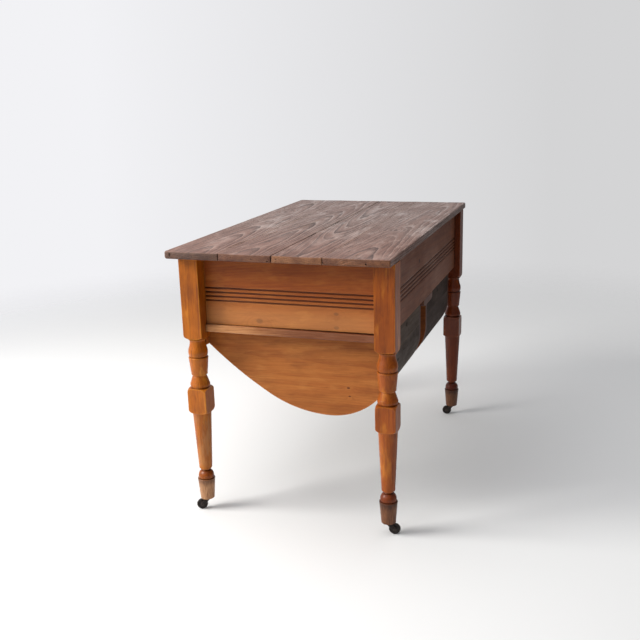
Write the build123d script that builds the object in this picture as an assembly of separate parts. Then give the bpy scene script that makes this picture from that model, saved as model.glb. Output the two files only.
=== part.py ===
"""Baker's kitchen work table on casters, with two deep curved-bottomed bins that slide out at the front.

X runs along the table and +X is its right end, Y runs from the bin fronts (-Y) to the back, Z is up.
The origin is on the floor, under the middle of the whole table's box. Millimetres.
"""

from build123d import *
import math
import os

# Frame: sizes over the legs, the height of the top, and how far back the legs
# stand from the middle of the whole box.
LENGTH = 948
DEPTH = 581
HEIGHT = 750
LEG = 54
TOP_THICK = 19
TOP_CORNER_ROUND = 16
TOP_FRONT_ROUND = 5
TOP_EDGE_ROUND = 3
END_OVERHANG = 42
FRONT_OVERHANG = 21
CENTRE_Y = 8.174
BOARD_WIDTHS = (157, 143, 133, 169)
BOARD_GAP = 0.6
UNDER_TOP = HEIGHT - TOP_THICK

# Aprons and bearers.
APRON_BOTTOM = 541.6
END_APRON_RECESS = 38
END_APRON_THICK = 19
BACK_APRON_RECESS = 19
BACK_APRON_THICK = 14
BEARER_THICK = 20
BEARER_RECESS = 28
BEARER_WIDTH = 45.5
BEARER_ROUND = 4
REED_LOW = 607
REED_PITCH = 11.3
REED_COUNT = 4
REED_RADIUS = 2.2
REED_AXIS_OUT = 0.3
TENON_LONG = 20
TENON_THICK = 8
TENON_SHOULDER = 14
TENON_TOP_SHOULDER = 16
TENON_OFF_CENTRE = 2
BACK_TENON_SET_IN = 3
RAIL_TENON_SET_IN = 10
RAIL_TENON_DEEP = 20
BEARER_TENON_SET_IN = 4
BEARER_TENON_DEEP = 18
THIN_SHOULDER = 5
FRONT_RAIL_HIGH = 20
FRONT_RAIL_DEEP = 34
FRONT_RAIL_RECESS = 20
STILE_WIDE = 26
STILE_THICK = 20
RUNNER_WIDE = 66
WEB_THICK = 20
RUNNER_BLOCK_WIDE = 116
RUNNER_BLOCK_ROUND = 13
TOP_CLEAT_THICK = 20
TOP_CLEAT_WIDE = 40
CORNER_BLOCK = 15
CORNER_BLOCK_LONG = 90

# Bins: the belly is four tangent arcs, taken from its lowest point forward and back.
BIN_FRONT_RECESS = 20
BIN_FRONT_THICK = 18
BIN_FRONT_TOP = 709
BIN_SIDE_TOP = 707
BIN_SIDE_THICK = 18
BIN_BACK_THICK = 12
BIN_SHEET_THICK = 4
BIN_SEAM = 470
BIN_LAP = 24
BIN_OUTER_GAP = 21
BIN_MIDDLE_GAP = 70
BIN_CLEAT_HIGH = 18
BIN_CLEAT_OUTER = 16.5
BIN_CLEAT_INNER = 18
SLIDE_GAP = 0.4
BELLY_LOW_Y = 91.5
BELLY_LOW_Z = 298.7
BELLY_SWEEP_RADIUS = 1084
BELLY_BOTTOM_RADIUS = 332
BELLY_HEEL_RADIUS = 183
BELLY_BACK_RADIUS = 121
BELLY_BOTTOM_TURN = math.radians(31)
BELLY_HEEL_TURN = math.radians(45)
KNOB_RADIUS = 17
KNOB_LONG = 24
KNOB_SHANK_RADIUS = 6
KNOB_HEIGHT = 567
KNOB_SPACING = 190
FAR = 600
BIN_FACE_GAP = 2
BIN_CLEAT_FRONT_GAP = 1
BIN_CLEAT_BACK_GAP = 4
BIN_NAIL_HEIGHTS = (500, 585, 675)
BIN_NAIL_LONG = 30

# Fasteners.
NAIL_HEAD_RADIUS = 2.6
NAIL_RADIUS = 1.4
NAIL_LONG = 45
NAIL_SUNK = 0.8
NAIL_HEAD_THICK = 1.2
NAIL_SHARES = (0.24, 0.76)
NAIL_CLEAR_OF_LEG = 12
CLEAT_NAIL_LONG = 31

# Casters.
LEG_BOTTOM = 34.5
WHEEL_RADIUS = 15.5
WHEEL_WIDE = 9
CASTER_TRAIL = 16
STEM_RADIUS = 4
STEM_TOP = 78
SOCKET_BORE_TOP = 80
SOCKET_TOP = 81
SOCKET_RADIUS = 5.5
SOCKET_PLATE_RADIUS = 15
SOCKET_PLATE_THICK = 1.8
CROWN_BOTTOM = 30
CROWN_RADIUS = 8.5
AXLE_RADIUS = 2
RUN_CLEARANCE = 0.06
EAR_THICK = 2.8
EAR_GAP = 0.6
ARM_BACK = 5
ARM_FRONT = 7
ARM_HALF_WIDE = 3.5
EYE_RADIUS = 5
RIVET_RADIUS = 3.4
RIVET_HIGH = 1.2
RIVET_ROUND = 0.7
CASTERS = {
    "front_right": (1, -1, -62),
    "back_right": (1, 1, 104),
    "front_left": (-1, -1, 20),
    "back_left": (-1, 1, -76),
}

# Derived places, in the table's own Y, measured from the middle of the legs.
HALF_LONG = LENGTH / 2
HALF_DEEP = DEPTH / 2
LEG_IN_X = HALF_LONG - LEG
LEG_IN_Y = HALF_DEEP - LEG
LEG_X = HALF_LONG - LEG / 2
LEG_Y = HALF_DEEP - LEG / 2
APRON_OUT_X = HALF_LONG - END_APRON_RECESS
APRON_IN_X = APRON_OUT_X - END_APRON_THICK
BACK_OUT_Y = HALF_DEEP - BACK_APRON_RECESS
BACK_IN_Y = BACK_OUT_Y - BACK_APRON_THICK
BIN_FRONT_Y = -HALF_DEEP + BIN_FRONT_RECESS
BIN_IN_Y = BIN_FRONT_Y + BIN_FRONT_THICK
BIN_BACK_Y = (
    BELLY_LOW_Y
    + BELLY_HEEL_RADIUS * math.sin(BELLY_HEEL_TURN)
    + BELLY_BACK_RADIUS * (1 - math.sin(BELLY_HEEL_TURN))
)
BIN_OUT_X = LEG_IN_X - BIN_OUTER_GAP
BIN_MID_X = BIN_MIDDLE_GAP / 2
BEARER_BOTTOM = APRON_BOTTOM - BEARER_THICK
FRONT_REACH = HALF_DEEP + FRONT_OVERHANG
ENDS = {"right": 1, "left": -1}


def block(x0, x1, y0, y1, z0, z1):
    """A box between two opposite corners."""
    box = Box(abs(x1 - x0), abs(y1 - y0), abs(z1 - z0))
    return Pos((x0 + x1) / 2, (y0 + y1) / 2, (z0 + z1) / 2) * box


def rod(x, y, z0, z1, radius):
    """An upright round bar."""
    return Pos(x, y, (z0 + z1) / 2) * Cylinder(radius, z1 - z0)


def turned(lines):
    """A solid turned about the Z axis from a half outline of edges in X and Z."""
    face = make_face(Wire(lines))
    return revolve(face, Axis.Z, 360)


def save(name, shape):
    """Writes one sub-part, moved so that the origin is under the middle of the table."""
    placed = Pos(0, CENTRE_Y, 0) * shape
    placed.label = name
    export_step(placed, f"parts/{name}.step")


def half_outline(*steps):
    """Joins (radius, height) points: a pair is a corner, two pairs are an arc's middle and end."""
    edges = []
    here = Vector(steps[0][0], 0, steps[0][1])
    for step in steps[1:]:
        if isinstance(step[0], tuple):
            middle = Vector(step[0][0], 0, step[0][1])
            there = Vector(step[1][0], 0, step[1][1])
            edges.append(Edge.make_three_point_arc(here, middle, there))
        else:
            there = Vector(step[0], 0, step[1])
            edges.append(Edge.make_line(here, there))
        here = there
    edges.append(Edge.make_line(here, Vector(steps[0][0], 0, steps[0][1])))
    return edges


def leg_blank():
    """A turned leg: square head, vase, cone, cushion, square block, taper, domed foot and cup."""
    corner = LEG / math.sqrt(2) - 0.6
    face = LEG / 2
    outline = half_outline(
        (0, LEG_BOTTOM),
        (18.2, LEG_BOTTOM),
        ((19.0, LEG_BOTTOM + 0.4), (19.3, LEG_BOTTOM + 1.3)),
        (24.0, 92.5),
        ((24.2, 94.6), (22.6, 95.6)),
        (19.8, 96),
        (19.8, 97.2),
        ((21.4, 98.4), (21.6, 100.5)),
        ((19.2, 112.5), (11.2, 119.6)),
        ((10.6, 121), (11.2, 122.4)),
        (13.6, 123.6),
        ((16.9, 125.6), (18.1, 130)),
        (25.6, 291.5),
        (face, 294),
        ((face + 7.4, 297), (corner, 304)),
        (corner, 355),
        ((face + 7.4, 361.5), (face, 364.5)),
        (24.2, 365.6),
        ((26.8, 371.5), (25.2, 379.5)),
        ((22.4, 388.5), (19.2, 397.2)),
        ((18.8, 399), (20.2, 400.8)),
        ((21.8, 402.2), (22.2, 404.8)),
        (26.5, 448.5),
        ((26.5, 450.2), (25.2, 451.4)),
        (22.8, 452.1),
        (22.8, 454.4),
        ((24.8, 455.4), (25.6, 458)),
        ((26.5, 466), (24.6, 476)),
        ((21.9, 485.5), (20.9, 496.5)),
        (21.8, 499.4),
        ((24.4, 501.6), (23.2, 504.2)),
        (face, 505.6),
        ((face + 7.4, 508.6), (corner, 515.6)),
        (corner, UNDER_TOP),
        (0, UNDER_TOP),
    )
    square = block(-face, face, -face, face, LEG_BOTTOM, UNDER_TOP)
    return turned(outline) & square


def reeds(length):
    """The run of reeded grooves, as bars along X at Y 0, to cut from an apron or a bin front."""
    bars = []
    for i in range(REED_COUNT):
        bar = Rot(0, 90, 0) * Cylinder(REED_RADIUS, length)
        bars.append(Pos(0, 0, REED_LOW + i * REED_PITCH) * bar)
    return Compound(bars)


def end_apron(side):
    """A reeded end apron with a tenon at each end."""
    board = block(APRON_OUT_X, APRON_IN_X, -LEG_IN_Y, LEG_IN_Y, APRON_BOTTOM, UNDER_TOP)
    grooves = Pos(APRON_OUT_X + REED_AXIS_OUT, 0, 0) * Rot(0, 0, 90) * reeds(2 * LEG_IN_Y)
    return Rot(0, 0, 0 if side > 0 else 180) * (board - grooves + end_tenons())


def end_tenons():
    """The two tenons of the right-hand end apron."""
    middle = APRON_OUT_X - END_APRON_THICK / 2 + TENON_OFF_CENTRE
    low = APRON_BOTTOM + TENON_SHOULDER
    high = UNDER_TOP - TENON_TOP_SHOULDER
    reach = LEG_IN_Y + TENON_LONG
    x0 = middle - TENON_THICK / 2
    x1 = middle + TENON_THICK / 2
    front = block(x0, x1, -reach, -LEG_IN_Y, low, high)
    back = block(x0, x1, LEG_IN_Y, reach, low, high)
    return Compound([front, back])


def back_tenons():
    """The two tenons of the back apron."""
    low = APRON_BOTTOM + TENON_SHOULDER
    high = UNDER_TOP - TENON_TOP_SHOULDER
    y0 = BACK_IN_Y + BACK_TENON_SET_IN
    reach = LEG_IN_X + TENON_LONG
    right = block(LEG_IN_X, reach, y0, y0 + TENON_THICK, low, high)
    left = block(-reach, -LEG_IN_X, y0, y0 + TENON_THICK, low, high)
    return Compound([right, left])


def rail_tenons():
    """The two tenons of the front top rail."""
    y0 = -HALF_DEEP + FRONT_RAIL_RECESS + RAIL_TENON_SET_IN
    y1 = y0 + RAIL_TENON_DEEP
    low = UNDER_TOP - FRONT_RAIL_HIGH + THIN_SHOULDER
    high = UNDER_TOP - THIN_SHOULDER
    reach = LEG_IN_X + TENON_LONG
    right = block(LEG_IN_X, reach, y0, y1, low, high)
    left = block(-reach, -LEG_IN_X, y0, y1, low, high)
    return Compound([right, left])


def bearer_tenons():
    """The two tenons of the right-hand end bearer."""
    x1 = HALF_LONG - BEARER_RECESS - BEARER_TENON_SET_IN
    x0 = x1 - BEARER_TENON_DEEP
    low = BEARER_BOTTOM + THIN_SHOULDER
    high = APRON_BOTTOM - THIN_SHOULDER
    reach = LEG_IN_Y + TENON_LONG
    front = block(x0, x1, -reach, -LEG_IN_Y, low, high)
    back = block(x0, x1, LEG_IN_Y, reach, low, high)
    return Compound([front, back])


def end_bearer():
    """The right end bearer: its outer edge shows as a worn strip, a bin slides on its inner one."""
    x1 = HALF_LONG - BEARER_RECESS
    board = block(x1 - BEARER_WIDTH, x1, -LEG_IN_Y, LEG_IN_Y, BEARER_BOTTOM, APRON_BOTTOM)
    outer = board.edges().filter_by(Axis.Y).group_by(Axis.X)[-1]
    return fillet(outer, BEARER_ROUND) + bearer_tenons()


def back_apron():
    """The reeded back apron with a tenon at each end."""
    board = block(-LEG_IN_X, LEG_IN_X, BACK_IN_Y, BACK_OUT_Y, APRON_BOTTOM, UNDER_TOP)
    grooves = Pos(0, BACK_OUT_Y + REED_AXIS_OUT, 0) * reeds(2 * LEG_IN_X)
    return board - grooves + back_tenons()


def front_rail():
    """The rail over the bin fronts, with a tenon at each end."""
    y0 = -HALF_DEEP + FRONT_RAIL_RECESS
    low = UNDER_TOP - FRONT_RAIL_HIGH
    board = block(-LEG_IN_X, LEG_IN_X, y0, y0 + FRONT_RAIL_DEEP, low, UNDER_TOP)
    return board + rail_tenons()


def leg(x_side, y_side):
    """A leg in place, with its mortises and the caster's socket hole."""
    body = Pos(x_side * LEG_X, y_side * LEG_Y, 0) * leg_blank()
    turn = 0 if x_side > 0 else 180
    cuts = [Rot(0, 0, turn) * end_tenons(), Rot(0, 0, turn) * bearer_tenons()]
    cuts.append(back_tenons() if y_side > 0 else rail_tenons())
    cuts.append(rod(x_side * LEG_X, y_side * LEG_Y, LEG_BOTTOM, SOCKET_TOP, SOCKET_RADIUS))
    for cut in cuts:
        body = body - cut
    return body


def top_boards():
    """The four boards of the top, front to back, with rounded outer edges and one rounded corner."""
    x1 = HALF_LONG + END_OVERHANG
    z0 = UNDER_TOP
    y = -FRONT_REACH
    made = []
    for i, width in enumerate(BOARD_WIDTHS):
        y1 = y + width - (BOARD_GAP if i < len(BOARD_WIDTHS) - 1 else 0)
        board = block(-x1, x1, y, y1, z0, HEIGHT)
        if i == 0:
            front = board.edges().filter_by(Axis.Z).group_by(Axis.Y)[0]
            board = fillet(front, TOP_CORNER_ROUND)
        upper = board.faces().sort_by(Axis.Z)[-1]
        ends_up = [e for e in upper.edges() if abs(e.center().X) > x1 - TOP_CORNER_ROUND - 1]
        if i == 0:
            ends_up = [e for e in upper.edges() if e.center().Y < y1 - 1]
        if i == len(BOARD_WIDTHS) - 1:
            ends_up = [e for e in upper.edges() if e.center().Y > y + 1]
        board = fillet(ends_up, TOP_FRONT_ROUND if i == 0 else TOP_EDGE_ROUND)
        lower = board.faces().sort_by(Axis.Z)[0]
        if i == 0:
            rounded = [e for e in lower.edges() if e.center().Y < y1 - 1]
            board = fillet(rounded, TOP_FRONT_ROUND)
        made.append(board)
        y += width
    return made


def belly_edge(inset):
    """The belly's curve in Y and Z, moved inwards by inset, from the front plane to the back seam."""
    low = Vector(0, BELLY_LOW_Y, BELLY_LOW_Z)
    bottom_centre = low + Vector(0, 0, BELLY_BOTTOM_RADIUS)
    heel_centre = low + Vector(0, 0, BELLY_HEEL_RADIUS)

    def on(centre, radius, angle):
        """A point at an angle from straight down, positive towards the back."""
        r = radius - inset
        return centre + Vector(0, r * math.sin(angle), -r * math.cos(angle))

    shift = BELLY_SWEEP_RADIUS - BELLY_BOTTOM_RADIUS
    turn = -BELLY_BOTTOM_TURN
    sweep_centre = bottom_centre - Vector(0, math.sin(turn), -math.cos(turn)) * shift
    back_shift = BELLY_HEEL_RADIUS - BELLY_BACK_RADIUS
    heel_way = Vector(0, math.sin(BELLY_HEEL_TURN), -math.cos(BELLY_HEEL_TURN))
    back_centre = heel_centre + heel_way * back_shift
    reach = (BIN_FRONT_Y - sweep_centre.Y) / (BELLY_SWEEP_RADIUS - inset)
    front_turn = math.asin(reach)
    quarter = math.pi / 2
    arcs = [
        (sweep_centre, BELLY_SWEEP_RADIUS, front_turn, turn),
        (bottom_centre, BELLY_BOTTOM_RADIUS, turn, 0),
        (heel_centre, BELLY_HEEL_RADIUS, 0, BELLY_HEEL_TURN),
        (back_centre, BELLY_BACK_RADIUS, BELLY_HEEL_TURN, quarter),
    ]
    edges = []
    for centre, radius, start, stop in arcs:
        points = [on(centre, radius, a) for a in (start, (start + stop) / 2, stop)]
        edges.append(Edge.make_three_point_arc(*points))
    top = Vector(0, BIN_BACK_Y - inset, BIN_SEAM)
    edges.append(Edge.make_line(edges[-1] @ 1, top))
    return edges


def side_area(inset, y_back, top):
    """The face inside the belly's curve, up to a level top, between the front plane and y_back."""
    edges = belly_edge(inset)
    corners = [
        edges[-1] @ 1,
        Vector(0, BIN_BACK_Y - inset, top),
        Vector(0, BIN_FRONT_Y, top),
        edges[0] @ 0,
    ]
    for start, stop in zip(corners, corners[1:]):
        edges.append(Edge.make_line(start, stop))
    area = make_face(Wire(edges))
    window = Rot(0, 90, 0) * Rectangle(2 * FAR, y_back - BIN_FRONT_Y)
    return area & Pos(0, (BIN_FRONT_Y + y_back) / 2, FAR) * window


def along_x(area, x0, x1):
    """A face in the YZ plane drawn out between two places on X."""
    return Pos(min(x0, x1), 0, 0) * extrude(area, abs(x1 - x0), dir=(1, 0, 0))


def bin_pieces(side):
    """The pieces of one bin, as (name, shape), on the +X side or the -X side."""
    x_out = side * BIN_OUT_X
    x_in = side * BIN_MID_X
    x_wall_out = side * (BIN_OUT_X - BIN_SIDE_THICK)
    x_wall_in = side * (BIN_MID_X + BIN_SIDE_THICK)
    x_face_out = side * (LEG_IN_X - BIN_FACE_GAP)
    x_face_in = side * (STILE_WIDE / 2 + BIN_FACE_GAP)
    whole = side_area(0, BIN_BACK_Y + 1, BIN_SIDE_TOP)
    inner = side_area(BIN_SHEET_THICK, BIN_BACK_Y + 1, BIN_SIDE_TOP)
    behind = block(-FAR, FAR, BIN_IN_Y, FAR, 0, HEIGHT)
    side_outer = along_x(whole, x_out, x_wall_out) & behind
    side_inner = along_x(whole, x_in, x_wall_in) & behind
    sheet = along_x(whole, x_wall_out, x_wall_in) - along_x(inner, x_wall_out, x_wall_in)
    sheet = sheet & block(-FAR, FAR, BIN_IN_Y, FAR, 0, BIN_SEAM)
    back_in_y = BIN_BACK_Y - BIN_BACK_THICK
    flap = block(x_wall_out, x_wall_in, back_in_y, BIN_BACK_Y, BIN_SEAM, BIN_SIDE_TOP)
    lap_out_y = BIN_BACK_Y - BIN_SHEET_THICK
    lap = block(x_wall_out, x_wall_in, back_in_y, lap_out_y, BIN_SEAM - BIN_LAP, BIN_SEAM)
    front = along_x(side_area(0, BIN_IN_Y, BIN_FRONT_TOP), x_face_out, x_face_in)
    middle = (x_face_out + x_face_in) / 2
    grooves = Pos(middle, BIN_FRONT_Y - REED_AXIS_OUT, 0) * reeds(abs(x_face_out - x_face_in))
    front = front - grooves
    knob_x = [middle + side * KNOB_SPACING / 2, middle - side * KNOB_SPACING / 2]
    for x in knob_x:
        hole = Pos(x, (BIN_FRONT_Y + BIN_IN_Y) / 2, KNOB_HEIGHT)
        front = front - hole * Rot(90, 0, 0) * Cylinder(KNOB_SHANK_RADIUS, BIN_FRONT_THICK)
    cleat_y0 = BIN_IN_Y + BIN_CLEAT_FRONT_GAP
    cleat_y1 = BIN_BACK_Y - BIN_CLEAT_BACK_GAP
    z0 = APRON_BOTTOM + SLIDE_GAP
    z1 = z0 + BIN_CLEAT_HIGH
    cleat_outer = block(x_out, x_out + side * BIN_CLEAT_OUTER, cleat_y0, cleat_y1, z0, z1)
    cleat_inner = block(x_in, x_in - side * BIN_CLEAT_INNER, cleat_y0, cleat_y1, z0, z1)
    nails = bin_nails(side)
    return [
        ("front", front),
        ("side_outer", side_outer - nails),
        ("side_inner", side_inner - nails),
        ("back", flap + lap - nails),
        ("belly", sheet),
        ("cleat_outer", cleat_outer),
        ("cleat_inner", cleat_inner),
        ("knob_outer", knob(knob_x[0])),
        ("knob_inner", knob(knob_x[1])),
        ("nails", Compound(nails)),
    ]


def knob(x):
    """A turned wooden knob with a shank glued through the bin front."""
    outline = half_outline(
        (0, -BIN_FRONT_THICK),
        (KNOB_SHANK_RADIUS, -BIN_FRONT_THICK),
        (KNOB_SHANK_RADIUS, 0),
        (10.5, 0),
        ((10.2, 2.2), (8.4, 4)),
        ((7.8, 8), (11, 11.2)),
        ((16.2, 13), (KNOB_RADIUS, 17)),
        ((13.6, 21.6), (7, KNOB_LONG - 0.4)),
        (0, KNOB_LONG),
    )
    shape = turned(outline)
    return Pos(x, BIN_FRONT_Y, KNOB_HEIGHT) * Rot(90, 0, 0) * shape


def nail(length):
    """A cut nail standing head up at the origin."""
    head = Pos(0, 0, -NAIL_HEAD_THICK / 2) * Cylinder(NAIL_HEAD_RADIUS, NAIL_HEAD_THICK)
    shank = Pos(0, 0, -length / 2) * Cylinder(NAIL_RADIUS, length)
    return head + shank


def bin_nails(side):
    """Nails through both sides of a bin into the edges of its back board."""
    nails = []
    y = BIN_BACK_Y - BIN_BACK_THICK / 2
    for face, out in ((BIN_OUT_X, 1), (BIN_MID_X, -1)):
        for z in BIN_NAIL_HEIGHTS:
            turn = Rot(0, 90 * side * out, 0)
            nails.append(Pos(side * (face - out * 0.4), y, z) * turn * nail(BIN_NAIL_LONG))
    return nails


def top_nails():
    """Nails through the top boards into the end aprons and the middle cleats."""
    nails = []
    apron_x = APRON_OUT_X - END_APRON_THICK / 2
    cleat_x = WEB_THICK / 2 + TOP_CLEAT_WIDE / 2
    y = -FRONT_REACH
    for width in BOARD_WIDTHS:
        for share in NAIL_SHARES:
            at = min(max(y + width * share, NAIL_CLEAR_OF_LEG - LEG_IN_Y), LEG_IN_Y - NAIL_CLEAR_OF_LEG)
            for x in (-apron_x, -cleat_x, cleat_x, apron_x):
                length = NAIL_LONG if abs(x) > cleat_x else CLEAT_NAIL_LONG
                nails.append(Pos(x, at, HEIGHT - NAIL_SUNK) * nail(length))
        y += width
    return nails


def socket():
    """A caster's socket: a round plate under the leg, with a sleeve up inside it."""
    low = LEG_BOTTOM - SOCKET_PLATE_THICK
    plate = rod(0, 0, low, LEG_BOTTOM, SOCKET_PLATE_RADIUS)
    lower_rim = plate.edges().group_by(Axis.Z)[0]
    body = fillet(lower_rim, 0.8) + rod(0, 0, low, SOCKET_TOP, SOCKET_RADIUS)
    return body - rod(0, 0, low, SOCKET_BORE_TOP, STEM_RADIUS + RUN_CLEARANCE)


def horn():
    """A caster's horn, trailing along +X: a stem and crown, and two ears down to the axle."""
    low = CROWN_BOTTOM
    top = LEG_BOTTOM - SOCKET_PLATE_THICK - 0.4
    crown = rod(0, 0, low, top, CROWN_RADIUS)
    body = crown + rod(0, 0, low, STEM_TOP, STEM_RADIUS)
    y0 = WHEEL_WIDE / 2 + EAR_GAP
    shoulder = top - 0.3
    upper = (CASTER_TRAIL + ARM_HALF_WIDE, WHEEL_RADIUS + ARM_HALF_WIDE)
    lower = (CASTER_TRAIL - ARM_HALF_WIDE, WHEEL_RADIUS - ARM_HALF_WIDE)
    corners = [(-ARM_BACK, low), (-ARM_BACK, shoulder), (ARM_FRONT, shoulder), upper, lower]
    web = make_face(Polyline(*corners, close=True).edges())
    eye = Pos(CASTER_TRAIL, WHEEL_RADIUS) * Circle(EYE_RADIUS)
    profile = Plane.XZ * (web + eye)
    for side in (1, -1):
        y = side * (y0 + EAR_THICK / 2)
        ear = Pos(0, y + EAR_THICK / 2, 0) * extrude(profile, EAR_THICK)
        body = body + ear
    bore = Pos(CASTER_TRAIL, 0, WHEEL_RADIUS) * Rot(90, 0, 0) * Cylinder(AXLE_RADIUS, 60)
    return body - bore


def axle():
    """A caster's riveted axle pin, along Y."""
    reach = WHEEL_WIDE / 2 + EAR_GAP + EAR_THICK
    pin = Cylinder(AXLE_RADIUS, 2 * reach)
    for side in (1, -1):
        head = Pos(0, 0, side * (reach + RIVET_HIGH / 2)) * Cylinder(RIVET_RADIUS, RIVET_HIGH)
        rim = head.edges().filter_by(GeomType.CIRCLE).sort_by(Axis.Z)
        pin = pin + fillet(rim[-1] if side > 0 else rim[0], RIVET_ROUND)
    return Pos(CASTER_TRAIL, 0, WHEEL_RADIUS) * Rot(90, 0, 0) * pin


def wheel():
    """A caster's iron wheel: crowned tread, dished sides and a hub."""
    half = WHEEL_WIDE / 2
    bore = AXLE_RADIUS + RUN_CLEARANCE
    rim = WHEEL_RADIUS - 1.9
    tread = WHEEL_RADIUS - 0.25
    outline = half_outline(
        (bore, -half),
        (5.2, -half),
        (6, -half + 1.4),
        (rim - 2.4, -half + 1.4),
        (rim - 1.3, -half + 0.4),
        (rim, -half + 0.4),
        ((WHEEL_RADIUS - 0.8, -half + 1.4), (tread, -half + 2.8)),
        ((WHEEL_RADIUS, 0), (tread, half - 2.8)),
        ((WHEEL_RADIUS - 0.8, half - 1.4), (rim, half - 0.4)),
        (rim - 1.3, half - 0.4),
        (rim - 2.4, half - 1.4),
        (6, half - 1.4),
        (5.2, half),
        (bore, half),
    )
    return Pos(CASTER_TRAIL, 0, WHEEL_RADIUS) * Rot(90, 0, 0) * turned(outline)


def main():
    os.makedirs("parts", exist_ok=True)

    for name, (x_side, y_side, angle) in CASTERS.items():
        save(f"leg_{name}", leg(x_side, y_side))
        place = Pos(x_side * LEG_X, y_side * LEG_Y, 0) * Rot(0, 0, angle)
        save(f"caster_{name}_socket", place * socket())
        save(f"caster_{name}_horn", place * horn())
        save(f"caster_{name}_axle", place * axle())
        save(f"caster_{name}_wheel", place * wheel())

    nails = top_nails()
    for i, board in enumerate(top_boards()):
        save(f"top_board_{i + 1}", board - nails)

    for name, side in ENDS.items():
        turn = Rot(0, 0, 0 if side > 0 else 180)
        save(f"end_apron_{name}", end_apron(side) - nails)
        save(f"end_bearer_{name}", turn * end_bearer())
        x0 = side * (APRON_IN_X - TOP_CLEAT_WIDE)
        y0 = -HALF_DEEP + FRONT_RAIL_RECESS + FRONT_RAIL_DEEP
        low = UNDER_TOP - TOP_CLEAT_THICK
        save(f"end_cleat_{name}", block(x0, side * APRON_IN_X, y0, BACK_IN_Y, low, UNDER_TOP))
        x0 = side * WEB_THICK / 2
        x1 = x0 + side * TOP_CLEAT_WIDE
        save(f"middle_cleat_{name}", block(x0, x1, y0, BACK_IN_Y, low, UNDER_TOP) - nails)
        for piece, shape in bin_pieces(side):
            save(f"bin_{name}_{piece}", shape)

    save("top_nails", Compound(nails))
    save("back_apron", back_apron())
    save("front_rail", front_rail())
    front_y = -HALF_DEEP + FRONT_RAIL_RECESS
    stile_x = STILE_WIDE / 2
    stile_y = front_y + STILE_THICK
    rail_low = UNDER_TOP - FRONT_RAIL_HIGH
    save("front_stile", block(-stile_x, stile_x, front_y, stile_y, BEARER_BOTTOM, rail_low))
    runner_x = RUNNER_WIDE / 2
    save("middle_runner", block(-runner_x, runner_x, stile_y, BACK_IN_Y, BEARER_BOTTOM, APRON_BOTTOM))
    web_x = WEB_THICK / 2
    web = block(-web_x, web_x, stile_y, BACK_IN_Y, APRON_BOTTOM, UNDER_TOP)
    notch = block(-web_x, web_x, stile_y, front_y + FRONT_RAIL_DEEP, rail_low, UNDER_TOP)
    save("middle_web", web - notch)
    end_x = RUNNER_BLOCK_WIDE / 2
    end_block = block(-end_x, end_x, BACK_IN_Y, BACK_OUT_Y, BEARER_BOTTOM, APRON_BOTTOM)
    lower = end_block.edges().filter_by(Axis.Y).group_by(Axis.Z)[0]
    save("runner_end_block", fillet(lower, RUNNER_BLOCK_ROUND))

    blocks = []
    z1 = UNDER_TOP - TOP_CLEAT_THICK - 2
    z0 = z1 - CORNER_BLOCK_LONG
    for side in (1, -1):
        x0 = side * APRON_IN_X
        x1 = side * (APRON_IN_X - CORNER_BLOCK)
        blocks.append(block(x0, x1, BACK_IN_Y - CORNER_BLOCK, BACK_IN_Y, z0, z1))
        blocks.append(block(x0, x1, -LEG_IN_Y, CORNER_BLOCK - LEG_IN_Y, z0, z1))
    save("corner_blocks", Compound(blocks))


main()
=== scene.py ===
"""Looks of the baker's kitchen table: worn planks, old woods and iron casters, in a pale studio. Metres."""

import math

import bmesh
import bpy
from mathutils import Matrix, Vector, noise


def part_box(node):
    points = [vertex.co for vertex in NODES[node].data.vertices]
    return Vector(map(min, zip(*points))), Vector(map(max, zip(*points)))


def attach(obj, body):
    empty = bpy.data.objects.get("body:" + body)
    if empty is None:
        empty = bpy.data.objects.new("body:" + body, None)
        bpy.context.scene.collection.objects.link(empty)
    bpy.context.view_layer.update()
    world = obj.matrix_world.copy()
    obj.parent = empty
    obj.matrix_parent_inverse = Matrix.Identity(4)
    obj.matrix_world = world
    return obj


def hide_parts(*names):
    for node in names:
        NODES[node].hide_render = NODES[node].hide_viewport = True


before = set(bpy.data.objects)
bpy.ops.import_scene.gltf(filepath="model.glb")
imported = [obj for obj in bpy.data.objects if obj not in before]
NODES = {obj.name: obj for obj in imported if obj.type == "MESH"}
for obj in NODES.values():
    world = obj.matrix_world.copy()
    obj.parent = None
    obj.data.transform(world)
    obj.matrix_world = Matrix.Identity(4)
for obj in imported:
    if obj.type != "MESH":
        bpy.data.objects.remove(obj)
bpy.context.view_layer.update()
SIDES = {"right": 1, "left": -1}
LEGS = ("front_right", "back_right", "front_left", "back_left")
GRAIN_ORDER = {"X": "XYZ", "Y": "YZX", "Z": "ZXY"}


# ---------------------------------------------------------------- material building

def srgb(red, green, blue):
    """A display colour, 0 to 255, as the linear colour a shader takes."""
    made = []
    for value in (red, green, blue):
        c = value / 255
        made.append(c / 12.92 if c <= 0.04045 else ((c + 0.055) / 1.055) ** 2.4)
    return (*made, 1.0)


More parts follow.
